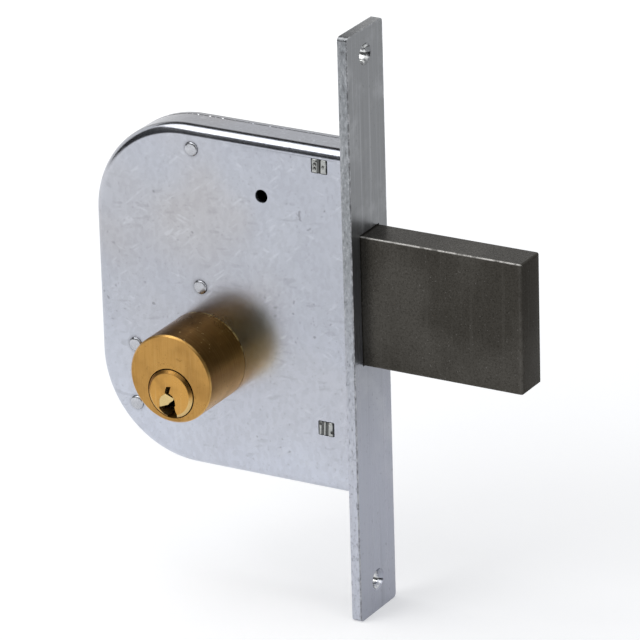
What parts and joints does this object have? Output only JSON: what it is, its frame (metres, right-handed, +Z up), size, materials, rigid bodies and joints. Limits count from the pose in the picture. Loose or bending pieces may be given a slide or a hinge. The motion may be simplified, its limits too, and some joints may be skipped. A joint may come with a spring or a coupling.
{
  "type": "mortise deadlock",
  "caption": "Mortise deadlock: flat faceplate, sheet-steel case with rounded back corners, long square bolt thrown by a round pin-tumbler cylinder.",
  "frame": {"origin": "On the faceplate's outer face, half way across it, level with the cylinder's axis.", "axes": "+X out of the faceplate, the way the bolt is thrown; -Y towards the side of the door that the cylinder stands out of; +Z up along the faceplate."},
  "size_m": [0.134, 0.0369, 0.1735],
  "materials": {
    "plated_face": "zinc plated, brushed",
    "zinc_sheet": "zinc plated sheet, satin",
    "blackened_steel": "blackened, matt",
    "brass": "turned, satin",
    "bright_steel": "bright turned",
    "spring_steel": "drawn"
  },
  "bodies": {
    "lock": {"faceplate": "plated_face", "case_front": "zinc_sheet", "case_back": "zinc_sheet", "upper_bracket": "bright_steel", "lower_bracket": "bright_steel", "spring_post": "bright_steel", "guide_post": "bright_steel", "upper_back_post": "bright_steel", "lower_back_post": "bright_steel", "cylinder_body": "brass", "cylinder_screw_1": "bright_steel", "cylinder_screw_2": "bright_steel", "idler_stud": "bright_steel", "idler_ring": "bright_steel", "brake_spring": "spring_steel", "pin_spring_1": "spring_steel", "pin_spring_2": "spring_steel", "pin_spring_3": "spring_steel", "pin_spring_4": "spring_steel", "pin_spring_5": "spring_steel"},
    "bolt_body": {"bolt": "blackened_steel"},
    "plug_body": {"plug": "brass", "plug_ring": "bright_steel", "plug_pinion": "bright_steel"},
    "idler_body": {"idler_gear": "bright_steel"},
    "key_pin_1_body": {"key_pin_1": "brass"},
    "driver_pin_1_body": {"driver_pin_1": "bright_steel"},
    "key_pin_2_body": {"key_pin_2": "brass"},
    "driver_pin_2_body": {"driver_pin_2": "bright_steel"},
    "key_pin_3_body": {"key_pin_3": "brass"},
    "driver_pin_3_body": {"driver_pin_3": "bright_steel"},
    "key_pin_4_body": {"key_pin_4": "brass"},
    "driver_pin_4_body": {"driver_pin_4": "bright_steel"},
    "key_pin_5_body": {"key_pin_5": "brass"},
    "driver_pin_5_body": {"driver_pin_5": "bright_steel"}
  },
  "joints": [
    {"name": "bolt_slide", "type": "slide", "parent": "lock", "child": "bolt_body", "axis": [1, 0, 0], "range_m": [-0.048, 0]},
    {"name": "idler_turn", "type": "hinge", "parent": "lock", "child": "idler_body", "pos_m": [-0.03147, 0, -0.00892], "axis": [0, 1, 0], "range_deg": [-180, 0]},
    {"name": "plug_turn", "type": "hinge", "parent": "lock", "child": "plug_body", "pos_m": [-0.05, 0, -0.0043], "axis": [0, 1, 0], "range_deg": [0, 720]},
    {"name": "key_pin_1_drop", "type": "slide", "parent": "plug_body", "child": "key_pin_1_body", "axis": [0, 0, 1], "range_m": [-0.0012, 0]},
    {"name": "driver_pin_1_drop", "type": "slide", "parent": "lock", "child": "driver_pin_1_body", "axis": [0, 0, 1], "range_m": [-0.0012, 0], "deforming": ["pin_spring_1"]},
    {"name": "key_pin_2_drop", "type": "slide", "parent": "plug_body", "child": "key_pin_2_body", "axis": [0, 0, 1], "range_m": [-0.0012, 0]},
    {"name": "driver_pin_2_drop", "type": "slide", "parent": "lock", "child": "driver_pin_2_body", "axis": [0, 0, 1], "range_m": [-0.0012, 0], "deforming": ["pin_spring_2"]},
    {"name": "key_pin_3_drop", "type": "slide", "parent": "plug_body", "child": "key_pin_3_body", "axis": [0, 0, 1], "range_m": [-0.0012, 0]},
    {"name": "driver_pin_3_drop", "type": "slide", "parent": "lock", "child": "driver_pin_3_body", "axis": [0, 0, 1], "range_m": [-0.0012, 0], "deforming": ["pin_spring_3"]},
    {"name": "key_pin_4_drop", "type": "slide", "parent": "plug_body", "child": "key_pin_4_body", "axis": [0, 0, 1], "range_m": [-0.0012, 0]},
    {"name": "driver_pin_4_drop", "type": "slide", "parent": "lock", "child": "driver_pin_4_body", "axis": [0, 0, 1], "range_m": [-0.0012, 0], "deforming": ["pin_spring_4"]},
    {"name": "key_pin_5_drop", "type": "slide", "parent": "plug_body", "child": "key_pin_5_body", "axis": [0, 0, 1], "range_m": [-0.0012, 0]},
    {"name": "driver_pin_5_drop", "type": "slide", "parent": "lock", "child": "driver_pin_5_body", "axis": [0, 0, 1], "range_m": [-0.0012, 0], "deforming": ["pin_spring_5"]}
  ],
  "couplings": [
    {"joint": "idler_turn", "follows": "bolt_slide", "rad_per_m": 65.45},
    {"joint": "plug_turn", "follows": "bolt_slide", "rad_per_m": -261.8},
    {"joint": "driver_pin_1_drop", "follows": "key_pin_1_drop", "ratio": 1},
    {"joint": "driver_pin_2_drop", "follows": "key_pin_2_drop", "ratio": 1},
    {"joint": "driver_pin_3_drop", "follows": "key_pin_3_drop", "ratio": 1},
    {"joint": "driver_pin_4_drop", "follows": "key_pin_4_drop", "ratio": 1},
    {"joint": "driver_pin_5_drop", "follows": "key_pin_5_drop", "ratio": 1}
  ]
}
